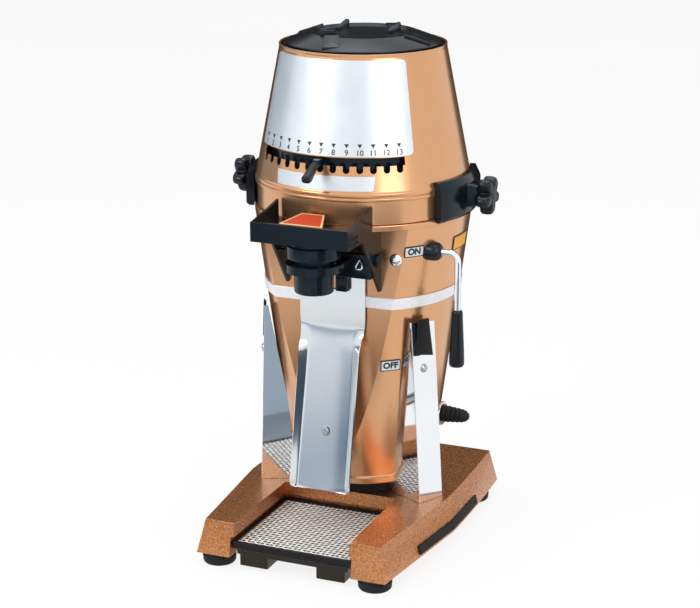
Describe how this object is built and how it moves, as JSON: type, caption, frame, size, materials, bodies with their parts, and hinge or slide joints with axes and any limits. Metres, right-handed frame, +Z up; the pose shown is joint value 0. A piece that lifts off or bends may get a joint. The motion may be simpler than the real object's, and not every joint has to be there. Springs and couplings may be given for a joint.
{
  "type": "coffee grinder",
  "caption": "Electric counter coffee grinder with a copper bean hopper, notched grind dial, bag clamp spout, chute, start lever and chaff drawer on a cast base.",
  "frame": {"origin": "centre of the bounding box in plan, at the undersides of the feet", "axes": "+Z up, -Y towards the front where the spout and the drawer are, +X towards the side with the start lever"},
  "size_m": [0.3636, 0.39, 0.6733],
  "materials": {
    "hammered_copper": "glossy hammertone copper lacquer on a casting",
    "copper_shell": "satin copper lacquer",
    "chrome": "polished",
    "brushed": "bright brushed",
    "steel": "machined",
    "stator_core": "laminated, with copper windings",
    "black_cast": "black enamel",
    "black_plastic": "semi-gloss black",
    "matte_black": "matte black",
    "smoke_plastic": "smoky brown, slightly clear",
    "rubber": "matte",
    "silver_plate": "satin silver",
    "yellow_plate": "plain yellow",
    "orange_plate": "plain orange red"
  },
  "bodies": {
    "frame": {"base_frame": "hammered_copper", "foot_front_left": "rubber", "foot_front_right": "rubber", "foot_rear_left": "rubber", "foot_rear_right": "rubber", "pedestal_ring": "matte_black", "motor_housing": "copper_shell", "trim_band": "brushed", "motor_stator": "stator_core", "lower_bearing": "steel", "upper_bearing": "steel", "start_capacitor": "steel", "mill_bowl": "steel", "mill_ring": "copper_shell", "hopper_cone": "copper_shell", "hopper_funnel": "black_plastic", "dial_plate": "silver_plate", "notice_plate": "silver_plate", "plate_on": "silver_plate", "plate_off": "silver_plate", "plate_side": "yellow_plate", "clamp_saddle_left": "black_cast", "clamp_saddle_right": "black_cast", "clamp_housing": "black_cast", "shelf_plate": "orange_plate", "spout_collar": "black_cast", "spout_tube": "black_cast", "clamp_pin": "steel", "clamp_spring": "steel", "chute": "chrome", "chute_screw": "steel", "leg_left": "chrome", "leg_right": "chrome", "leg_insert_left": "black_plastic", "leg_insert_right": "black_plastic", "leg_screw_left": "steel", "leg_screw_right": "steel", "lever_bushing": "black_plastic", "start_switch": "matte_black", "gland_collar": "chrome", "gland_sleeve": "rubber", "side_grip_left": "rubber", "side_grip_right": "rubber", "chute_standoff": "steel"},
    "rotor": {"rotor_shaft": "steel", "cooling_fan": "matte_black", "burr_carrier": "steel", "lower_burr": "steel"},
    "grind_adjuster": {"adjusting_ring": "black_cast", "grind_lever": "black_plastic", "upper_burr": "steel"},
    "lid": {"hopper_lid": "black_plastic"},
    "lever": {"lever_rod": "chrome", "lever_grip": "black_plastic"},
    "bag_clamp": {"clamp_yoke": "black_cast"},
    "tray": {"tray_frame": "black_plastic", "chaff_tray": "smoke_plastic"},
    "grid": {"tray_mesh": "steel"},
    "knob_left": {"clamp_knob_left": "black_plastic"},
    "knob_right": {"clamp_knob_right": "black_plastic"}
  },
  "joints": [
    {"name": "start_lever", "type": "hinge", "parent": "frame", "child": "lever", "pos_m": [0.125, -0.016, 0.4004], "axis": [-1, 0, 0], "range_deg": [0, 90]},
    {"name": "bag_clamp_lift", "type": "hinge", "parent": "frame", "child": "bag_clamp", "pos_m": [0, -0.062, 0.3937], "axis": [-1, 0, 0], "range_deg": [0, 4]},
    {"name": "grind_dial", "type": "hinge", "parent": "frame", "child": "grind_adjuster", "pos_m": [0, 0.05, 0.5], "axis": [0, 0, 1], "range_deg": [-43.6, 43.6]},
    {"name": "rotor_spin", "type": "hinge", "parent": "frame", "child": "rotor", "pos_m": [0, 0.05, 0.25], "axis": [0, 0, 1], "continuous": true},
    {"name": "lid_lift", "type": "slide", "parent": "frame", "child": "lid", "axis": [0, 0, 1], "range_m": [0, 0.12]},
    {"name": "tray_slide", "type": "slide", "parent": "frame", "child": "tray", "axis": [0, -1, 0], "range_m": [0, 0.15]},
    {"name": "grid_lift", "type": "slide", "parent": "tray", "child": "grid", "axis": [0, 0, 1], "range_m": [0, 0.02]},
    {"name": "knob_left_turn", "type": "hinge", "parent": "frame", "child": "knob_left", "pos_m": [-0.17, 0.05, 0.4634], "axis": [-1, 0, 0], "continuous": true},
    {"name": "knob_right_turn", "type": "hinge", "parent": "frame", "child": "knob_right", "pos_m": [0.17, 0.05, 0.4634], "axis": [1, 0, 0], "continuous": true}
  ],
  "couplings": [
    {"joint": "bag_clamp_lift", "follows": "start_lever", "ratio": 0.0444}
  ]
}
